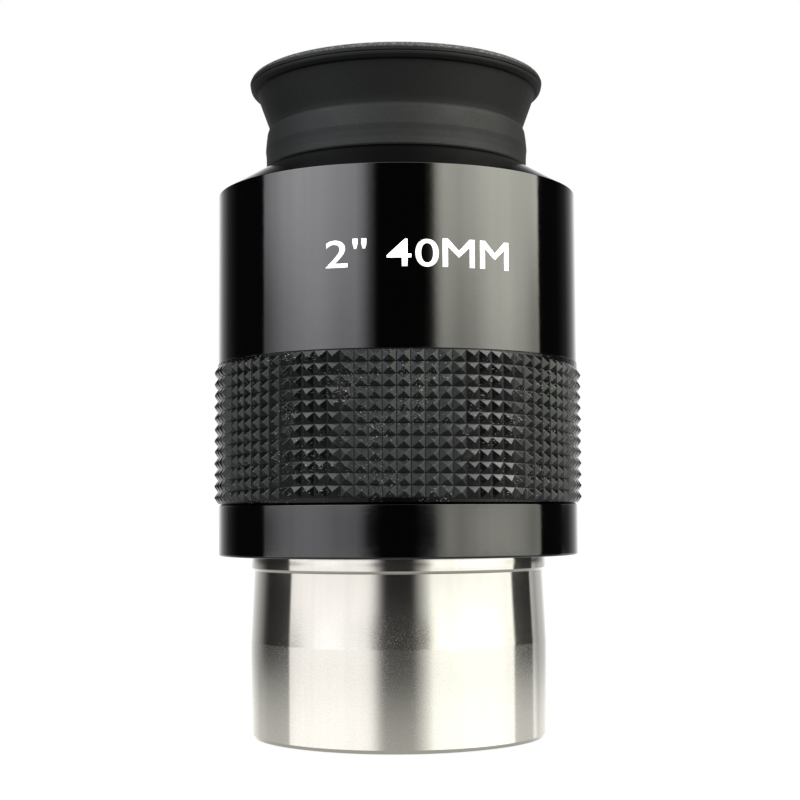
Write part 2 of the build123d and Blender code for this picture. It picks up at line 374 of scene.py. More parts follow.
def steel():
    """Turned steel: polished undercut and a satin full-diameter zone, with lines round the axis.

    The lines tilt the surface only along the axis, so reflections smear up and down but stay
    crisp sideways."""
    satin_depth, polish_depth = 0.0020, 0.0016  # height of the fine lines in each zone
    material, tree = new_material("turned_steel")
    position = tree.position()
    axes = x, y, z = tree.split(position)
    satin = z.smooth(off=16.50, on=16.30)
    micro = tree.noise(tree.stretched(axes, around=0.25, up=24.0), rough=0.6)
    turned = tree.noise(tree.stretched(axes, around=0.02, up=2.2), detail=3.0, rough=0.6)
    grain = tree.noise(tree.stretched(axes, around=2.6, up=6.0), rough=0.6)
    spark = tree.noise(tree.stretched(axes, around=5.0, up=8.0), detail=1.0)
    cloud = tree.noise(position, scale=0.11, detail=3.0)
    line_depth = satin.scaled(by=satin_depth - polish_depth, plus=polish_depth)
    fine_normal = tree.bump(line_depth * micro + 0.0009 * turned)
    spark_normal = tree.bump(0.004 * spark)
    tangent = tree.add("ShaderNodeTangent", {}, direction_type="RADIAL", axis="Z")
    tint = tree.mix(cloud, under=rgb(0.605, 0.594, 0.540), over=rgb(0.640, 0.630, 0.578))
    # darker grain in the satin zone
    tint = tree.mix(satin * (grain.smooth(off=0.50, on=0.30) * 0.20), tint,
                    over=rgb(0.46, 0.45, 0.41))

    def lobe(roughness, anisotropic, normal):
        return tree.principled(
            Base_Color=tint, Metallic=1.0, Roughness=roughness, Anisotropic=anisotropic,
            Anisotropic_Rotation=0.25, Tangent=tangent, Normal=normal)

    crisp = lobe(grain.scaled(by=0.05, plus=0.055), anisotropic=0.8, normal=fine_normal)
    wide = lobe(roughness=0.40, anisotropic=0.5, normal=spark_normal)
    # the polish fades towards the lower end of the undercut, most in the middle of the front
    # and back; this and the softer collar are look choices
    middle = tree.math("ABSOLUTE", x).smooth(off=20.0, on=12.0)
    low = z.smooth(off=26.5, on=16.6) * middle.scaled(by=0.55, plus=0.45)
    low = low.max(satin)
    glint = spark.smooth(off=0.58, on=0.70) * 0.34
    # share of the wide lobe: base level by zone, then the collar, then the glints
    share = satin.scaled(by=0.055, plus=low.scaled(by=0.082, plus=0.055))
    share = share + z.smooth(off=28.8, on=29.0) * 0.07
    share = share + glint * low.scaled(by=0.80, plus=0.12)
    tree.output(tree.add("ShaderNodeMixShader", {0: share, 1: crisp, 2: wide}))
    return material


def grip_rubber():
    """Hard moulded rubber: painted shade in the valleys, a soft sheen on the facets, rubbed and
    dusty edges.
    """
    material, tree = new_material("grip_rubber")
    position = tree.position()
    axes = x, y, z = tree.split(position)
    r = tree.radius(x, y)
    fine = tree.noise(position, scale=6.0, detail=3.0, rough=0.65)
    patch = tree.noise(position, scale=0.16, detail=3.0, rough=0.6)
    flake = tree.noise(position, scale=3.4, detail=3.0, rough=0.75)
    nick = tree.noise(tree.stretched(axes, around=2.2, up=5.0), detail=3.0, rough=0.7)
    cell = tree.cells(tree.stretched(axes, around=1.5, up=1.5))
    size = tree.noise(position, scale=1.3, detail=1.0).linear(low=0.02, high=0.13)
    dots = (cell - size).smooth(off=0.03, on=0.0)
    thread = tree.cells(tree.stretched(axes, around=0.9, up=0.55), feature="DISTANCE_TO_EDGE")
    thread = thread.smooth(off=0.014, on=0.004)
    # dust as flakes, dots and faint threads, all gathered in patches
    dust = flake.smooth(off=0.69, on=0.715) * 0.45 * patch.smooth(off=0.54, on=0.64)
    dust = dust.max(dots * patch.smooth(off=0.53, on=0.62))
    dust = dust.max(thread * 0.35 * patch.smooth(off=0.60, on=0.66))
    edge_dirt = nick.smooth(off=0.63, on=0.68) * patch.smooth(off=0.40, on=0.55)
    valley_shade = r.smooth(off=31.235, on=31.205)
    tips = (r.smooth(off=31.58, on=31.73)
            * tree.noise(position, scale=1.7).smooth(off=0.48, on=0.66))
    # colour: rubber, rubbed tips, painted shade in the valleys, dust
    base = tree.mix(fine.linear(), under=rgb(0.0012, 0.0013, 0.0014),
                    over=rgb(0.0030, 0.0032, 0.0033))
    base = tree.mix(tips * 0.30, base, over=rgb(0.07, 0.07, 0.068))
    base = tree.mix(valley_shade * 0.8, base, over=grey(0.0015))
    base = tree.mix(dust.max(edge_dirt * 0.7) * 0.75, base, over=rgb(0.46, 0.46, 0.44))
    # sheen: weaker in the valleys as painted shade; the steps across x are painted light, a
    # stronger sheen towards +X and a weaker one near x = 0
    specular = 0.43 - valley_shade * 0.22
    specular = specular + x.smooth(off=7.0, on=17.0) * 0.09
    specular = specular - x.smooth(off=-13.0, on=-6.0) * x.smooth(off=14.0, on=6.0) * 0.06
    tree.output(tree.principled(
        Base_Color=base, IOR=1.45, Specular_IOR_Level=specular,
        Roughness=tree.noise(position, scale=3.0, detail=3.0).linear(low=0.13, high=0.22),
        Specular_Tint=rgb(0.94, 1.0, 0.985),
        Normal=tree.bump(tree.noise(position, scale=2.6) * 0.0065)))
    return material


def cup_rubber():
    """Soft moulded rubber with a fine matt skin; the rim's top is rougher and paler, with a
    painted highlight as pale mottle.
    """
    material, tree = new_material("eyecup_rubber")
    position = tree.position()
    x, y, z = tree.split(position)
    r = tree.radius(x, y)
    fine = tree.noise(position, scale=7.0, detail=4.0, rough=0.65)
    cloud = tree.noise(position, scale=0.22, detail=3.0, rough=0.55)
    top = z.smooth(off=112.95, on=113.45) * r.smooth(off=24.0, on=24.6)
    mottle_noise = tree.noise(position, scale=2.8, detail=4.0, rough=0.75)
    top_mottle_highlight = top * mottle_noise.smooth(off=0.52, on=0.66)
    # colour: skin, cloudy patches, rim top, pale mottle as painted highlight
    base = tree.mix(fine.linear(), under=rgb(0.0046, 0.0047, 0.0047),
                    over=rgb(0.0084, 0.0086, 0.0085))
    base = tree.mix(cloud.linear(high=0.4, start=0.35, end=0.75), base,
                    over=rgb(0.010, 0.0101, 0.010))
    base = tree.mix(top * 0.7, base, over=rgb(0.052, 0.053, 0.052))
    base = tree.mix(top_mottle_highlight * 0.8, base, over=rgb(0.30, 0.30, 0.29))
    coarse = tree.noise(position, scale=2.2, detail=3.0, rough=0.7)
    height = fine * 0.006 + top * 0.05 * coarse
    # painted shade: weaker sheen on the flared wall
    wall = z.smooth(off=105.0, on=106.0) * z.smooth(off=111.8, on=111.2)
    uneven = tree.noise(position, scale=2.3, detail=3.0, rough=0.7)
    tree.output(tree.principled(
        Base_Color=base, Roughness=cloud.linear(low=0.60, high=0.68) + top * 0.05, IOR=1.42,
        Specular_IOR_Level=(0.41 - wall * 0.10) * uneven.linear(low=0.86, high=1.14),
        Specular_Tint=rgb(0.94, 1.0, 0.99), Normal=tree.bump(height)))
    return material


def matt_black():
    """Matt black anodised inner metal with turned lines."""
    rings_per_mm = 14.0
    material, tree = new_material("matt_black_anodised")
    position = tree.position()
    x, y, z = tree.split(position)
    r = tree.radius(x, y)
    rings = tree.noise(tree.combine(r * rings_per_mm, z * rings_per_mm, 0.0), rough=0.6)
    fine = tree.noise(position, scale=6.0, detail=3.0, rough=0.6)
    base = tree.mix(fine, under=rgb(0.010, 0.010, 0.011), over=rgb(0.024, 0.024, 0.025))
    tree.output(tree.principled(
        Base_Color=base, Roughness=fine.linear(low=0.38, high=0.55), IOR=1.6,
        Normal=tree.bump(rings * 0.004)))
    return material


def speckled(name, grain_scale, dark, pale, rough, **values):
    """Plain surface whose colour, roughness and height follow one fine grain."""
    material, tree = new_material(name)
    fine = tree.noise(tree.position(), scale=grain_scale, detail=3.0, rough=0.6)
    tree.output(tree.principled(
        Base_Color=tree.mix(fine, dark, pale), Roughness=fine.linear(*rough),
        Normal=tree.bump(fine * 0.004), **values))
    return material


def coated_glass(name, film_nm, tint):
    """Optical glass: a thin coating layer gives the coloured reflections, with a little dust."""
    material, tree = new_material(name)
    position = tree.position()
    dust = (tree.cells(position, scale=0.9).smooth(off=0.05, on=0.02)
            * tree.noise(position, scale=0.3).smooth(off=0.55, on=0.65))
    smear = tree.noise(position, scale=0.25, detail=4.0, rough=0.6)
    tree.output(tree.principled(
        Base_Color=tint, Roughness=smear.linear(high=0.02, start=0.4, end=0.8) + dust * 0.3,
        IOR=1.56, Transmission_Weight=1.0, Thin_Film_Thickness=film_nm, Thin_Film_IOR=1.38))
    return material


BLACK, STEEL, GRIP_RUBBER, CUP_RUBBER = gloss_black(), steel(), grip_rubber(), cup_rubber()
MATT = matt_black()
SCREW = speckled("black_oxide_steel", grain_scale=5.0, dark=rgb(0.06, 0.06, 0.065),
                 pale=rgb(0.12, 0.12, 0.125), rough=(0.3, 0.45), Metallic=0.8)
# painted light: the print glows a little, so it reads evenly white under any light
PRINT = speckled("white_print_painted_glow", grain_scale=7.0, dark=rgb(0.78, 0.78, 0.77),
                 pale=rgb(0.90, 0.90, 0.89), rough=(0.35, 0.5), IOR=1.5,
                 Emission_Color=WHITE, Emission_Strength=0.45)
EYE_GLASS = coated_glass("coated_glass_green", film_nm=118.0, tint=rgb(0.97, 1.0, 0.985))
FIELD_GLASS = coated_glass("coated_glass_violet", film_nm=96.0, tint=rgb(0.98, 0.985, 1.0))

# ------------------------------------------------------------------ barrel
BORE_R, BORE_TOP = 23.20, 31.4
GROOVE_R, GROOVE_FLANK, GROOVE_PITCH, GROOVES_END = 23.42, 0.35, 0.72, 7.0
THREAD_R, THREAD_DEPTH, THREAD_PITCH = 23.62, 0.40, 0.75
THREAD_TOP, THREAD_BOTTOM, THREAD_POINTS = 5.55, 0.42, 84
BLACKENED_R, BLACKENED_Z = 23.95, 5.6  # the bore is blackened inside this radius, above this z

# (r, z[, fillet]) from the mouth, up the outside and down into the bore
BARREL_OUTER = [
    (25.02, 0.0, 0.08), (BARREL_R, 0.80, 0.12), (BARREL_R, 16.40, 0.25), (24.85, 28.25, 0.05),
    (24.91, 28.25, 0.02), (25.35, 28.70, 0.05), (25.35, POCKET_Z, 0.05), (24.55, POCKET_Z),
    (24.55, 37.40, 0.1), (23.92, 37.40), (23.92, 32.10), (BORE_R, 32.10), (BORE_R, BORE_TOP)]


def barrel():
    """Nosepiece with mouth chamfer, tapered undercut, collar, filter thread and grooved bore."""
    segments = 384
    bore = []
    z = BORE_TOP
    while z > GROOVES_END:
        bore += [(BORE_R, z), (GROOVE_R, z - GROOVE_FLANK), (BORE_R, z - 2 * GROOVE_FLANK)]
        z -= GROOVE_PITCH
    bore += [(BORE_R, 6.2), (THREAD_R, 5.75)]
    thread = [(THREAD_R, THREAD_TOP - k * (THREAD_TOP - THREAD_BOTTOM) / (THREAD_POINTS - 1))
              for k in range(THREAD_POINTS)]
    outer = rounded(BARREL_OUTER)
    profile = np.vstack([outer, bore, thread, [[23.95, 0.0]]])
    radii = np.repeat(profile[None, :, 0], segments, 0)
    first = len(outer) + len(bore)
    rows = slice(first, first + THREAD_POINTS)
    thread_z = profile[rows, 1]
    turns = ring_angles(segments)[:, None] / (2 * math.pi)
    phase = (thread_z[None, :] / THREAD_PITCH - turns) % 1.0
    depth = THREAD_DEPTH * (1 - np.abs(2 * phase - 1))
    # the thread runs out over a short length at both ends
    fade = (np.clip((thread_z - THREAD_BOTTOM) / 0.35, 0, 1)
            * np.clip((THREAD_TOP - thread_z) / 0.4, 0, 1))
    radii[:, rows] = THREAD_R + depth * fade[None, :]
    piece = revolve("barrel_turned", radii, profile[:, 1], segments, sharp=28.0)

    polygons = piece.data.polygons
    centres = np.empty(len(polygons) * 3)
    polygons.foreach_get("center", centres)
    centres = centres.reshape(-1, 3) * 1000
    blackened = ((np.hypot(centres[:, 0], centres[:, 1]) < BLACKENED_R)
                 & (centres[:, 2] > BLACKENED_Z))
    polygons.foreach_set("material_index", blackened.astype(np.int32))
    return piece


finish_piece(barrel(), (STEEL, MATT), replaces=("barrel",))

# ------------------------------------------------------------------ housings
# (r, z[, fillet])
LOWER_OUTLINE = [
    (25.40, SEAT, 0.05), (31.00, SEAT, 0.36), (31.00, 39.20, 0.06), (30.65, 39.55, 0.06),
    (26.90, 39.55), (26.90, 49.2), (26.5, 49.5), (23.80, 49.5), (23.80, 37.6), (24.60, 37.6),
    (24.60, POCKET_Z), (25.40, POCKET_Z)]
finish_piece(turn("lower_housing_turned", rounded(LOWER_OUTLINE, 6), segments=640, sharp=28.0),
             (BLACK,), replaces=("lower_housing",))

# the shoulder slopes at 30 degrees to the horizontal
CONE_R, CONE_Z0 = 22.80, 92.84
CONE_Z1 = CONE_Z0 + (BODY_R - CONE_R) * math.tan(math.radians(30.0))
# (r, z[, fillet])
UPPER_OUTLINE = [
    (27.0, 39.56), (29.9, 39.56, 0.1), (29.9, 63.60), (BODY_R, 63.60, 0.07),
    (BODY_R, CONE_Z0, 0.10), (CONE_R, CONE_Z1, 0.10), (21.5, CONE_Z1), (21.5, 99.4),
    (20.95, 99.4), (20.95, 101.4), (21.5, 101.4), (21.5, 103.5, 0.25), (20.0, 103.5, 0.1),
    (20.0, 91.0), (26.5, 91.0), (26.5, 56.2), (27.0, 56.2)]
finish_piece(turn("upper_housing_turned", rounded(UPPER_OUTLINE, 6), segments=640, sharp=20.0),
             (BLACK,), replaces=("upper_housing",))

# ------------------------------------------------------------------ grip ring
GRIP_COLUMNS, GRIP_ROWS = 88, 12
GRIP_R, POINT_HEIGHT = 31.20, 0.575    # groove floor, and the points above it
GRIP_START = math.radians(-90.0 - 0.3)
RING_Z0, RING_Z1 = GRIP_Z0 - 0.50, GRIP_Z1 + 0.06
GROOVE_U, GROOVE_V = 0.022, 0.008      # half widths of the groove floors, in cell widths
CHAMFER = 0.022                        # corner chamfer of a point, in cell widths

# The soft sleeve sits slightly wavy on its seat: lower and upper edges of the rows as
# (degrees from the front towards +X, z).
LOW_EDGE = [(-180, 39.78), (-80, 39.72), (-58, 39.76), (-44, 39.96), (-28, 40.34), (0, 40.30),
            (28, 40.06), (44, 39.82), (62, 39.70), (180, 39.78)]
HIGH_EDGE = [(-180, 62.9), (-80, 63.10), (-58, 63.06), (-44, 63.15), (-24, 63.46), (24, 63.46),
             (44, 63.15), (58, 62.82), (80, 62.40), (180, 62.9)]


def edge_height(angle, table):
    """Height of a row boundary at an angle round the ring, eased between the stations."""
    side = (math.degrees(angle) + 90.0 + 180.0) % 360.0 - 180.0
    for (side0, z0), (side1, z1) in zip(table, table[1:]):
        if side <= side1:
            k = (side - side0) / (side1 - side0)
            return z0 + (z1 - z0) * k * k * (3 - 2 * k)


def grip():
    """Ring of square points; every point has chamfered edges and a blunt tip."""
    verts, faces = [], []
    step = 2 * math.pi / GRIP_COLUMNS

    def add(r, angle, z):
        verts.append((r * math.cos(angle), r * math.sin(angle), z))
        return len(verts) - 1

    def add_point(column, row):
        # the fifth draw is unused but keeps the random sequence
        tall, shift_u, shift_v, blunt, _ = rng.normal(0, 1, 5)
        height = POINT_HEIGHT * (1.0 + 0.035 * tall)
        mid_u, mid_v = 0.5 + 0.016 * shift_u, 0.5 + 0.016 * shift_v
        tip = 0.034 + 0.010 * abs(blunt)

        def at(u, v, rise):
            angle = GRIP_START + ((column + u) % GRIP_COLUMNS) * step
            low, high = edge_height(angle, LOW_EDGE), edge_height(angle, HIGH_EDGE)
            return add(GRIP_R + rise, angle, low + (row + v) / GRIP_ROWS * (high - low))

        def octagon(u0, v0, u1, v1, rise, cut):
            corners = ((u0 + cut, v0), (u1 - cut, v0), (u1, v0 + cut), (u1, v1 - cut),
                       (u1 - cut, v1), (u0 + cut, v1), (u0, v1 - cut), (u0, v0 + cut))
            return [at(u, v, rise) for u, v in corners]

        cell = [at(u, v, 0) for u, v in ((0, 0), (1, 0), (1, 1), (0, 1))]
        foot = octagon(GROOVE_U, GROOVE_V, 1 - GROOVE_U, 1 - GROOVE_V, 0.004, CHAMFER)
        top = octagon(mid_u - tip, mid_v - tip, mid_u + tip, mid_v + tip,
                      height * (1 - 2 * tip) + 0.012, tip * 0.55)
        apex = at(mid_u, mid_v, height * (1 - 1.35 * tip) + 0.012)
        # groove floor: sides, then corners
        for k in range(4):
            faces.append([cell[k], cell[(k + 1) % 4], foot[2 * k + 1], foot[2 * k]])
        for k in range(1, 5):
            faces.append([cell[k % 4], foot[2 * k % 8], foot[2 * k - 1]])
        for k in range(8):
            after = (k + 1) % 8
            faces.append([foot[k], foot[after], top[after], top[k]])
            faces.append([top[k], top[after], apex])

    for column in range(GRIP_COLUMNS):
        for row in range(GRIP_ROWS):
            add_point(column, row)

    # borders, ends and the inside of the ring; a z given as a table is a wavy edge
    borders = [(GRIP_R, HIGH_EDGE), (GRIP_R, RING_Z1 - 0.04), (GRIP_R - 0.04, RING_Z1),
               (29.94, RING_Z1), (29.94, RING_Z0), (GRIP_R - 0.12, RING_Z0),
               (GRIP_R - 0.02, RING_Z0 + 0.06), (GRIP_R, LOW_EDGE)]
    loops = []
    for r, z in borders:
        angles = [GRIP_START + k * step for k in range(GRIP_COLUMNS)]
        loops.append([add(r, a, edge_height(a, z) if isinstance(z, list) else z)
                      for a in angles])
    for upper, lower in zip(loops, loops[1:]):
        for k in range(GRIP_COLUMNS):
            after = (k + 1) % GRIP_COLUMNS
            faces.append([upper[k], upper[after], lower[after], lower[k]])

    bm = bmesh.new()
    bm_verts = [bm.verts.new(place) for place in (np.array(verts) / 1000.0).tolist()]
    for face in faces:
        bm.faces.new([bm_verts[k] for k in face])
    bmesh.ops.remove_doubles(bm, verts=bm.verts, dist=2e-6)
    bmesh.ops.recalc_face_normals(bm, faces=bm.faces)
    face_outward(bm)
    return object_from_bmesh("grip_sleeve_points", bm)


finish_piece(grip(), (GRIP_RUBBER,), replaces=("grip_sleeve",))

# ------------------------------------------------------------------ eyecup
# One moulding: cuff, flared wall and rim bead, with the parting line round the rim.
# (r, z[, fillet])
CUP_OUTLINE = [
    (21.52, 97.72, 0.05), (22.72, 97.72, 0.10), (22.84, 98.00, 0.12), (22.80, 99.10, 1.0),
    (22.85, 100.30, 0.8), (22.95, 101.22, 0.22), (22.93, 101.55, 0.35), (22.80, 103.00, 1.8),
    (22.66, 104.10, 0.6), (22.50, 104.62, 0.14), (22.10, 104.84, 0.10), (22.43, 105.90),
    (24.42, 111.36, 0.10), (24.92, 111.50, 0.20), (25.42, 111.98, 0.40), (25.58, 112.38, 0.08),
    (25.40, 112.50, 0.03), (25.62, 112.62, 0.08), (25.70, 113.15, 0.25), (25.42, 113.70, 0.30),
    (24.95, 113.97, 0.30), (23.85, 113.97, 0.35), (23.30, 113.20, 0.30), (23.28, 111.5, 0.5),
    (21.20, 105.90, 1.0), (20.75, 104.85, 0.3), (20.72, 103.54), (21.52, 103.54),
    (21.52, 101.3), (20.98, 101.2), (20.98, 99.6), (21.52, 99.5)]
cup = turn("eyecup_rubber", subdivide(rounded(CUP_OUTLINE, 7), 0.45), segments=448, sharp=32.0)
finish_piece(cup, (CUP_RUBBER,), rides=False,
             replaces=("eyecup_cuff", "eyecup_wall", "eyecup_rim"))
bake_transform(cup)

# ------------------------------------------------------------------ printed marking
MARK_HEIGHT, MARK_Z, MARK_DEG = 4.45, 76.42, 6.9  # capitals, base line, turn towards +X
MARK_WIDEN = 1.335
INK_SINK, INK_THICKNESS = 0.012, 0.045
BEND_STEP = 0.5                                   # spacing of the cuts that let it bend
# in font units
BOLD = 0.006
M_WIDTH, M_STEM, M_GAP, M_STEP = 0.655, 0.106, 0.075, 0.115
M_SHOULDER, M_VEE_LOW, M_VEE_HIGH = 0.515, 0.245, 0.415


def glyphs(text):
    """Flat mesh of a text in the built-in font."""
    curve = bpy.data.curves.new("marking_text", "FONT")
    curve.body = text
    curve.size = 1.0
    curve.offset = BOLD
    curve.resolution_u = 10
    curve.space_character = 1.06
    text_object = add_object("marking_tmp", curve)
    bpy.context.view_layer.update()
    evaluated = text_object.evaluated_get(bpy.context.evaluated_depsgraph_get())
    mesh = bpy.data.meshes.new_from_object(evaluated)
    bpy.data.objects.remove(text_object)
    return mesh


def marking():
    """Size marking wrapped round the housing as thin ink; the two Ms are drawn one by one from
    given quads, not from the font.
    """
    bm = bmesh.new()
    bm.from_mesh(glyphs("2\" 40"))
    bmesh.ops.remove_doubles(bm, verts=bm.verts, dist=1e-5)
    cap = max(v.co.y for v in bm.verts)
    text_end = max(v.co.x for v in bm.verts)
    for k in range(2):
        left = text_end + M_GAP + k * (M_WIDTH + M_STEP)
        right = left + M_WIDTH
        mid = left + M_WIDTH / 2
        stem_l, stem_r = left + M_STEM, right - M_STEM
        for quad in ([(left, -BOLD), (stem_l, -BOLD), (stem_l, cap), (left, cap)],
                     [(stem_l, M_SHOULDER), (mid, M_VEE_LOW), (mid, M_VEE_HIGH), (stem_l, cap)],
                     [(mid, M_VEE_LOW), (stem_r, M_SHOULDER), (stem_r, cap), (mid, M_VEE_HIGH)],
                     [(stem_r, -BOLD), (right, -BOLD), (right, cap), (stem_r, cap)]):
            bm.faces.new([bm.verts.new((x, y, 0.0)) for x, y in quad])
    bmesh.ops.remove_doubles(bm, verts=bm.verts, dist=1e-5)
    bmesh.ops.triangulate(bm, faces=bm.faces)
    scale = MARK_HEIGHT / cap
    for v in bm.verts:
        v.co.x *= scale * MARK_WIDEN
        v.co.y *= scale
    start, end = min(v.co.x for v in bm.verts), max(v.co.x for v in bm.verts)
    for cut in np.arange(start + BEND_STEP, end, BEND_STEP):
        bmesh.ops.bisect_plane(bm, geom=bm.verts[:] + bm.edges[:] + bm.faces[:], dist=1e-6,
                               plane_co=(cut, 0, 0), plane_no=(1, 0, 0))
    bmesh.ops.triangulate(bm, faces=bm.faces)
    bmesh.ops.recalc_face_normals(bm, faces=bm.faces)
    extruded = bmesh.ops.extrude_face_region(bm, geom=bm.faces[:])
    for element in extruded["geom"]:
        if isinstance(element, bmesh.types.BMVert):
            element.co.z += INK_THICKNESS
    bmesh.ops.recalc_face_normals(bm, faces=bm.faces)
    middle = (start + end) / 2
    for v in bm.verts:
        angle = math.radians(MARK_DEG) + (v.co.x - middle) / BODY_R
        r = BODY_R - INK_SINK + v.co.z
        v.co = Vector((r * math.sin(angle), -r * math.cos(angle), MARK_Z + v.co.y)) / 1000.0
    face_outward(bm)
    return object_from_bmesh("focal_length_marking", bm)


finish_piece(marking(), (PRINT,))

# ------------------------------------------------------------------ inner CAD nodes
# these keep their shape and only get a material
INNER = (
    (MATT, ("lens_cell", "spacer_eye_side", "spacer_field_side", "eye_retaining_ring",
            "field_retaining_ring", "cell_lock_ring", "field_stop_ring")),
    (SCREW, ("lock_screws",)),
    (EYE_GLASS, ("eye_lens_flint", "eye_lens_crown", "center_lens")),
    (FIELD_GLASS, ("field_lens_crown", "field_lens_flint")),
)
for inner_material, names in INNER:
    for name in names:
        inner_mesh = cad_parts[name].data
        inner_mesh.materials.clear()
        inner_mesh.materials.append(inner_material)
        smooth_mesh(inner_mesh, sharp=25)


# ------------------------------------------------------------------ floor and table light
def flat_object(name, verts, faces, material):
    """Flat staging mesh; its vertices are in metres."""
    mesh = bpy.data.meshes.new(name)
    mesh.from_pydata(verts, [], faces)
    mesh.materials.append(material)
    return add_object(name, mesh)


def glowing(name, build):
    """Material that adds an emission to a second shader; `build` gives the parts."""
    material, tree = new_material(name)
    color, strength, second = build(tree)
    emission = tree.add("ShaderNodeEmission", {"Color": color, "Strength": strength})
    tree.output(tree.add("ShaderNodeAddShader", {0: emission, 1: second}))
    return material


def floor_parts(tree):
    return WHITE, 0.93, tree.add("ShaderNodeBsdfDiffuse", {"Color": grey(0.08)})


def glow_parts(tree):
    x, y, _ = tree.split(tree.position())
    falloff = tree.radius(x, y).smooth(off=240.0, on=10.0)
    strength = tree.math("POWER", falloff, 2.2) * 0.52
    return rgb(1.0, 0.985, 0.95), strength, tree.add("ShaderNodeBsdfTransparent", {})


floor = flat_object("floor", [(-6, -6, 0), (6, -6, 0), (6, 6, 0), (-6, 6, 0)], [(0, 1, 2, 3)],
                    glowing("pale_floor", floor_parts))
floor.visible_glossy = False
floor.visible_diffuse = False
floor.visible_transmission = False
floor.visible_shadow = False

# light bounced up from the table close round the base
GLOW_SEGMENTS, GLOW_R, GLOW_Z = 96, 0.26, -0.0004  # metres
glow_verts = [(0, 0, GLOW_Z)]
for k in range(GLOW_SEGMENTS):
    angle = k * 2 * math.pi / GLOW_SEGMENTS
    glow_verts.append((GLOW_R * math.cos(angle), GLOW_R * math.sin(angle), GLOW_Z))
glow_faces = [(0, 1 + k, 1 + (k + 1) % GLOW_SEGMENTS) for k in range(GLOW_SEGMENTS)]
glow = flat_object("table_glow", glow_verts, glow_faces, glowing("table_glow", glow_parts))
glow.visible_camera = False
glow.visible_shadow = False

# ------------------------------------------------------------------ studio light
# All tables are (degrees, brightness). Azimuth is 0 at the front (-Y) and positive towards +X.
# Brightness of the left and right soft boxes by azimuth
LEFT_BOX = [
    (-92.9, 0.0), (-91.9, 1.15), (-90, 1.35), (-87, 1.6), (-80, 2.2), (-74, 2.65), (-66, 3.05),
    (-57, 3.1), (-49, 3.0), (-42, 2.75), (-36, 2.5), (-30, 2.4), (-25, 2.35), (-21, 1.75),
    (-17, 0.65), (-13, 0.05), (-11, 0.0)]
RIGHT_BOX = [
    (17, 0.0), (20, 0.10), (22, 0.45), (24, 1.9), (26, 2.8), (29, 3.7), (33, 3.6), (40, 3.5),
    (47, 4.0), (55, 4.5), (64, 4.75), (72, 4.6), (80, 4.2), (89, 3.65), (94, 3.45),
    (99.5, 4.0), (101.2, 0.0)]
# low down both boxes are evenly bright from edge to edge
LEFT_BOX_LOW = [
    (-93.0, 0.0), (-92.2, 2.2), (-88, 2.55), (-50, 2.65), (-30, 2.65), (-23, 2.6), (-19, 1.8),
    (-16, 1.0), (-13, 0.33), (-10.5, 0.06), (-8.5, 0.0)]
RIGHT_BOX_LOW = [
    (9.5, 0.0), (12, 0.14), (14, 0.48), (18, 1.05), (22, 1.75), (25.5, 2.7), (28, 2.9),
    (60, 2.95), (95, 2.95), (98.7, 3.05), (99.5, 0.0)]
# gain of the boxes by elevation
BOX_GAIN = [
    (-50, 0.0), (-25, 0.04), (-16, 0.18), (-11, 0.44), (-6.5, 0.49), (-3.5, 0.56), (-1.6, 0.57),
    (-0.4, 0.54), (0.5, 0.56), (1.2, 0.64), (3.4, 0.60), (4.4, 0.68), (6.4, 0.80), (8.0, 0.95),
    (11.6, 1.13), (18, 1.35), (30, 1.50), (42, 1.0), (50, 0.0)]
# unevenness near the table by azimuth: just above the horizon, and below it
DIP = [
    (-92, 0.50), (-85, 0.62), (-75, 0.78), (-67, 0.83), (-58, 0.94), (-50, 0.98), (-42, 1.0),
    (-33, 0.88), (-26, 1.0), (-22, 0.85), (0, 0.85), (22, 0.75), (27, 1.0), (34, 0.90),
    (41, 0.77), (49, 0.83), (56, 1.0), (66, 1.11), (75, 1.17), (85, 1.02), (96, 0.63),
    (101, 0.6)]
SKIRT = [
    (-92, 0.50), (-85, 0.64), (-75, 0.80), (-67, 0.85), (-58, 0.94), (-50, 0.92), (-42, 0.90),
    (-33, 0.85), (-26, 0.82), (-21, 0.55), (-18, 0.22), (-14, 0.15), (0, 1.0), (22, 0.70),
    (27, 0.80), (31, 1.10), (40, 1.0), (50, 1.12), (66, 1.12), (75, 1.08), (85, 0.95),
    (92, 0.72), (101, 0.66)]
# paper sweep behind the object: by distance from the front, then low down on each side
SWEEP_HIGH = [
    (122, 0.0), (128, 0.02), (136, 0.08), (144, 0.30), (152, 0.62), (158, 1.0), (166, 1.15),
    (180, 1.2)]
SWEEP_LOW_LEFT = [
    (-180, 1.2), (-168, 1.06), (-155, 0.82), (-148, 0.64), (-142, 0.52), (-137, 0.37),
    (-132, 0.25), (-128, 0.11), (-124, 0.034), (-120, 0.0)]
SWEEP_LOW_RIGHT = [
    (125.3, 0.0), (126.3, 0.72), (130.5, 0.60), (135, 0.45), (139, 0.58), (145, 0.69),
    (151, 0.69), (160, 0.97), (168, 1.15), (180, 1.2)]
# gain of the sweep by elevation
SWEEP_GAIN = [
    (-40, 0.03), (-28, 0.10), (-20, 0.45), (-12, 0.95), (14, 1.0), (20, 0.5), (26, 0.10),
    (33, 0.0)]
# tops of the boxes leaning over the object, by azimuth
OVERHEAD = [
    (-180, 0.0), (-99, 0.0), (-94, 3.2), (-86, 3.7), (-56, 3.7), (-42, 1.8), (-20, 1.2),
    (20, 1.3), (42, 2.2), (57, 3.9), (90, 5.2), (102, 5.2), (106, 0.0), (180, 0.0)]
CEILING = 1.35
COOL, WARM = (1.0, 0.99, 1.04), (1.012, 1.0, 0.885)
PALE, CREAM = (1.025, 1.0, 1.02), (1.005, 1.0, 0.98)
# ramp colours are stored divided by these, and multiplied back afterwards
BOX_TOP, NEAR_TOP, SWEEP_TOP = 10.0, 1.5, 2.0


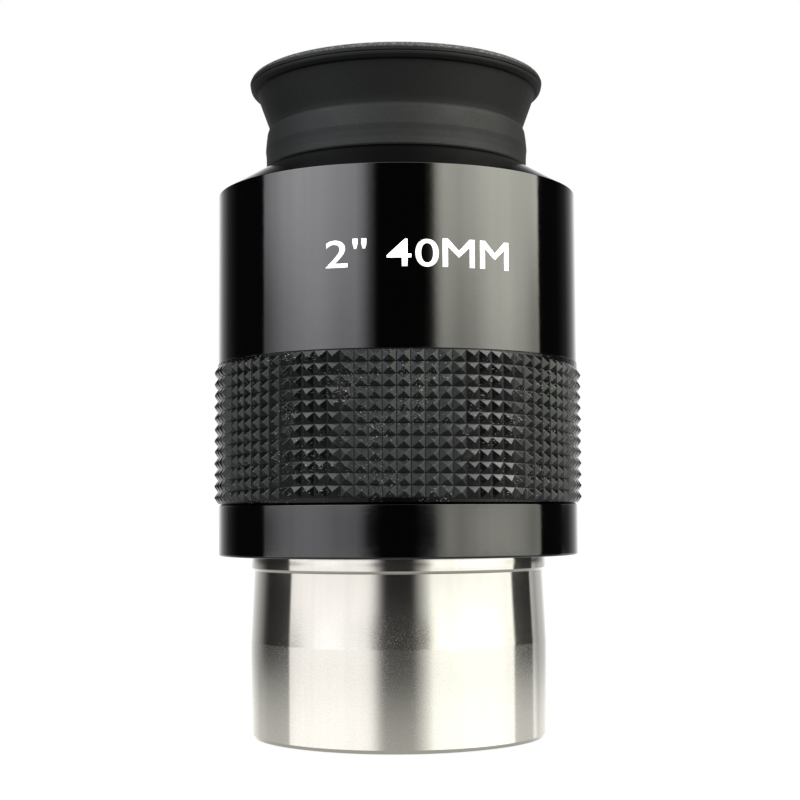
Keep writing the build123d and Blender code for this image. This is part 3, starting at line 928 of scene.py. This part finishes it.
def soft_boxes(tree, azimuth, elevation, around, upward, down):
    left, right = (
        tree.mix(down, tree.ramp(around, high, span=360.0, top=BOX_TOP, tint=high_tint),
                 tree.ramp(around, low, span=360.0, top=BOX_TOP, tint=low_tint))
        for high, high_tint, low, low_tint in ((LEFT_BOX, COOL, LEFT_BOX_LOW, PALE),
                                               (RIGHT_BOX, WARM, RIGHT_BOX_LOW, CREAM)))
    boxes = tree.mix(1.0, left, right, blend="ADD")
    uneven = tree.noise(tree.combine(azimuth * 0.11, elevation * 0.05, 3.0),
                        detail=3.0, rough=0.6)
    gain = (tree.ramp(upward, BOX_GAIN, span=180.0, top=2.0)
            * uneven.linear(low=1.88 * BOX_TOP, high=2.12 * BOX_TOP))
    dip, skirt = (tree.ramp(around, table, span=360.0, top=NEAR_TOP) for table in (DIP, SKIRT))
    near = tree.mix(elevation.smooth(off=1.0, on=3.0), skirt, dip)
    plain = elevation.smooth(off=7.0, on=11.0).max(down)
    near = tree.scale(tree.mix(plain, near, grey(1 / NEAR_TOP)), NEAR_TOP)
    return tree.scale(tree.vector_math("MULTIPLY", boxes, near), gain)


def paper_sweep(tree, azimuth, elevation, around, upward, down):
    """Fades in from the sides and ends overhead."""
    high = tree.ramp(tree.math("ABSOLUTE", azimuth) / 180.0, SWEEP_HIGH, span=180.0,
                     top=SWEEP_TOP, offset=0.0)
    low = tree.mix(azimuth.smooth(off=-1.0, on=1.0),
                   tree.ramp(around, SWEEP_LOW_LEFT, span=360.0, top=SWEEP_TOP),
                   tree.ramp(around, SWEEP_LOW_RIGHT, span=360.0, top=SWEEP_TOP))
    # a dim band low down between each box and the sweep
    dim_left = azimuth.smooth(off=-90.0, on=-95.0) * azimuth.smooth(off=-136.0, on=-126.0) * 0.12
    dim_right = azimuth.smooth(off=98.0, on=101.0) * azimuth.smooth(off=136.0, on=127.0) * 0.19
    band = elevation.smooth(off=-4.8, on=-6.2) * elevation.smooth(off=-12.0, on=-9.5)
    sweep = tree.mix(down, high, low) + (dim_left + dim_right) * band
    return sweep * tree.ramp(upward, SWEEP_GAIN, span=180.0, top=1.0) * SWEEP_TOP


def studio():
    """Two tall soft boxes left and right, a white sweep behind. White to the camera."""
    world = bpy.data.worlds.new("studio")
    scene.world = world
    tree = Tree(world)
    x, y, z = tree.split(tree.add("ShaderNodeTexCoord", {}, "Generated"))
    azimuth = tree.math("ARCTAN2", x, y * -1.0) * (180 / math.pi)
    elevation = tree.math("ARCSINE", z) * (180 / math.pi)
    around = azimuth.scaled(by=1 / 360.0, plus=0.5)
    upward = elevation.scaled(by=1 / 180.0, plus=0.5)
    # the low tables apply below about 4 degrees, except in a thin window at the horizon
    window = elevation.smooth(off=-1.8, on=-1.5) * elevation.smooth(off=0.70, on=0.40)
    down = elevation.smooth(off=4.4, on=3.6) * (1.0 - window)
    views = (tree, azimuth, elevation, around, upward, down)
    light = tree.vector_math("ADD", soft_boxes(*views), paper_sweep(*views))
    # the boxes lean over the object up to about 64 degrees, then a dim ceiling
    over = tree.mix(elevation.smooth(off=60.5, on=66.0),
                    tree.ramp(around, OVERHEAD, span=360.0, top=BOX_TOP),
                    grey(CEILING / BOX_TOP))
    over = tree.scale(over, elevation.smooth(off=33.0, on=42.0) * BOX_TOP)
    light = tree.vector_math("ADD", light, over)
    light = tree.vector_math("ADD", light, (0.012, 0.012, 0.0125))  # faint fill everywhere
    camera_ray = tree.add("ShaderNodeLightPath", {}, "Is Camera Ray")
    tree.output(tree.add("ShaderNodeMixShader", {
        0: camera_ray,
        1: tree.add("ShaderNodeBackground", {0: light}),
        2: tree.add("ShaderNodeBackground", {0: WHITE})}), kind="World")


studio()

scene.view_settings.view_transform = "Standard"
scene.view_settings.look = "None"
scene.view_settings.exposure = 0.0
scene.view_settings.gamma = 1.0

# ------------------------------------------------------------------ camera
CAMERA_DISTANCE, CAMERA_Z = 278.777, SEAT + 7.033
PITCH, YAW, ROLL = 0.0711, 0.0015, -0.0054  # radians
camera_data = bpy.data.cameras.new("camera")
camera = add_object("camera", camera_data)
scene.camera = camera
heading = Vector((math.sin(YAW), math.cos(YAW), 0))
level = Vector((math.cos(YAW), -math.sin(YAW), 0))
ahead = heading * math.cos(PITCH) + Vector((0, 0, 1)) * math.sin(PITCH)
upright = -heading * math.sin(PITCH) + Vector((0, 0, 1)) * math.cos(PITCH)
right = level * math.cos(ROLL) + upright * math.sin(ROLL)
up = upright * math.cos(ROLL) - level * math.sin(ROLL)
camera.matrix_world = Matrix((
    (right.x, up.x, -ahead.x, 0.0),
    (right.y, up.y, -ahead.y, -CAMERA_DISTANCE / 1000),
    (right.z, up.z, -ahead.z, CAMERA_Z / 1000),
    (0, 0, 0, 1)))
camera_data.sensor_width = 36.0
camera_data.lens = 71.96355
camera_data.clip_start, camera_data.clip_end = 0.01, 50.0
